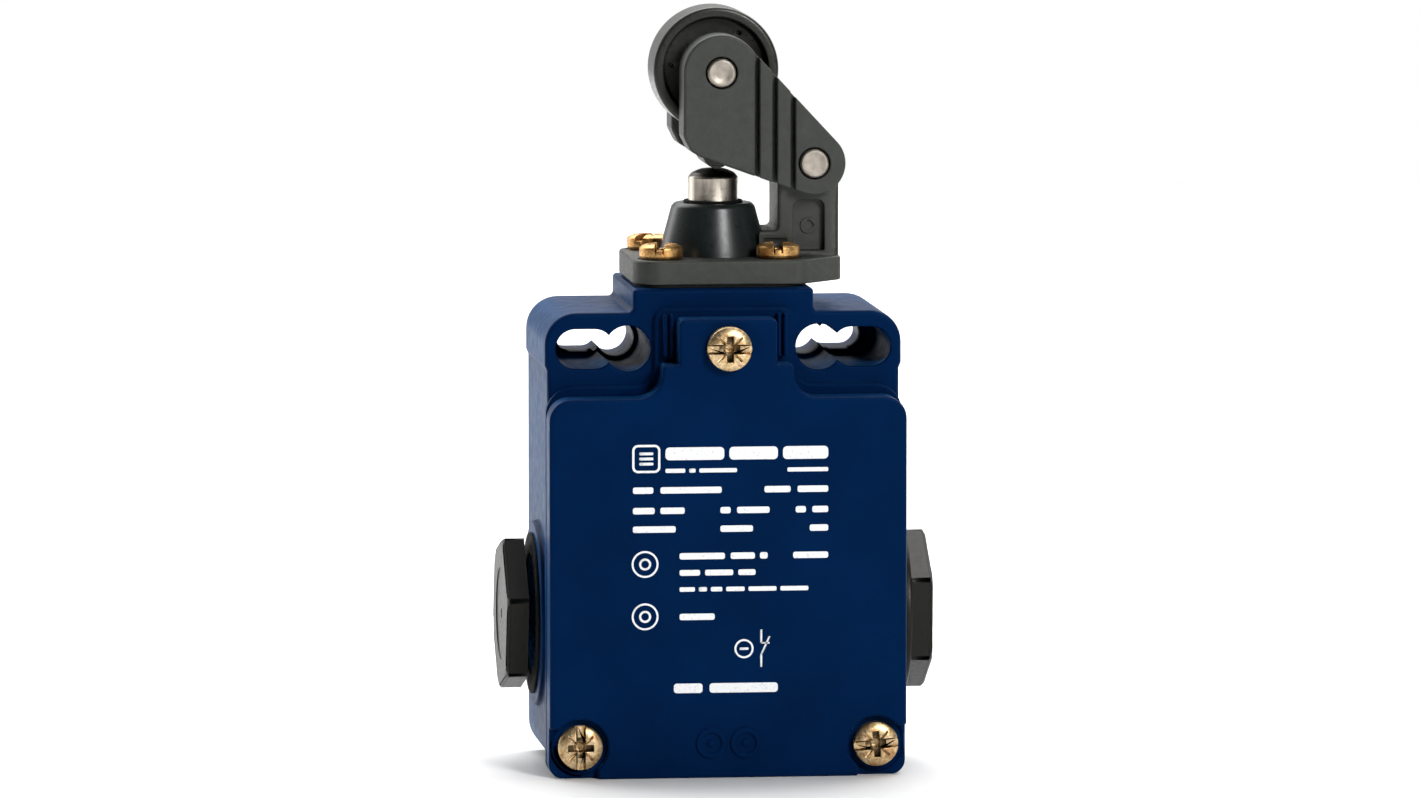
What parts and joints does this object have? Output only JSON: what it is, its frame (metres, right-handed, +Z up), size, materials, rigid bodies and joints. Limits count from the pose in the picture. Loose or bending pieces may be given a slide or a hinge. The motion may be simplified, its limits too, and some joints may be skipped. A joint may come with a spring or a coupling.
{
  "type": "limit switch",
  "caption": "Metal-cased limit switch with a plunger head and an offset one-way roller lever, blanked side cable entries and an open bottom entry.",
  "frame": {"origin": "midway between the two fixing holes, on the mounting face", "axes": "+X to the side of the pivot, +Y out of the mounting face into the machine, +Z up from the cable entry to the roller"},
  "size_m": [0.0674, 0.0408, 0.1194],
  "materials": {
    "case_paint": "navy enamel on die-cast metal",
    "black_plastic": "moulded, fine matt grain",
    "guide_plastic": "smooth moulded",
    "steel": "turned",
    "yellow_passivated": "zinc plated, yellow passivated",
    "brass": "rolled strip",
    "silver": "plated strip",
    "rubber": "moulded elastomer",
    "insulator": "moulded thermoset"
  },
  "bodies": {
    "case": {"housing": "case_paint", "cover": "case_paint", "cover_gasket": "rubber", "cover_screw_top": "yellow_passivated", "cover_screw_left": "yellow_passivated", "cover_screw_right": "yellow_passivated", "blanking_plug_left": "black_plastic", "blanking_plug_right": "black_plastic", "plug_seal_left": "rubber", "plug_seal_right": "rubber", "head_bracket": "black_plastic", "head_gasket": "rubber", "head_screw_rear_left": "yellow_passivated", "head_screw_rear_right": "yellow_passivated", "head_screw_front_left": "yellow_passivated", "head_screw_front_right": "yellow_passivated", "plunger_guide": "guide_plastic", "plunger_wiper": "rubber", "plunger_spring": "steel", "spring_retainer": "brass", "sealing_diaphragm": "rubber", "pivot_pin": "steel", "block_base": "insulator", "fixed_contact_21": "brass", "fixed_contact_22": "brass", "fixed_contact_13": "brass", "fixed_contact_14": "brass", "clamp_plate_21": "silver", "clamp_plate_22": "silver", "clamp_plate_13": "silver", "clamp_plate_14": "silver", "terminal_screw_21": "steel", "terminal_screw_22": "steel", "terminal_screw_13": "steel", "terminal_screw_14": "steel", "block_screw_left": "yellow_passivated", "block_screw_right": "yellow_passivated", "carrier_spring": "steel"},
    "lever_arm": {"lever": "black_plastic", "roller_axle": "steel"},
    "roller_wheel": {"roller": "black_plastic"},
    "plunger_rod": {"plunger": "steel"},
    "moving_contacts": {"contact_carrier": "guide_plastic", "nc_bridge": "brass", "no_bridge": "brass", "nc_bridge_spring": "steel", "no_bridge_spring": "steel"}
  },
  "joints": [
    {"name": "lever_pivot", "type": "hinge", "parent": "case", "child": "lever_arm", "pos_m": [0.015, -0.0165, 0.0283], "axis": [0, -1, 0], "range_deg": [0, 16], "stiffness_Nm_per_rad": 0.25, "springref_deg": -20.05},
    {"name": "roller_spin", "type": "hinge", "parent": "lever_arm", "child": "roller_wheel", "pos_m": [0, -0.0165, 0.0428], "axis": [0, 1, 0], "continuous": true},
    {"name": "plunger_slide", "type": "slide", "parent": "case", "child": "plunger_rod", "axis": [0, 0, -1], "range_m": [0, 0.0043], "deforming": ["plunger_spring"]},
    {"name": "carrier_slide", "type": "slide", "parent": "case", "child": "moving_contacts", "axis": [0, 0, -1], "range_m": [0, 0.0043], "deforming": ["carrier_spring"]}
  ],
  "couplings": [
    {"joint": "plunger_slide", "follows": "lever_pivot", "m_per_rad": 0.015},
    {"joint": "carrier_slide", "follows": "lever_pivot", "m_per_rad": 0.015}
  ]
}
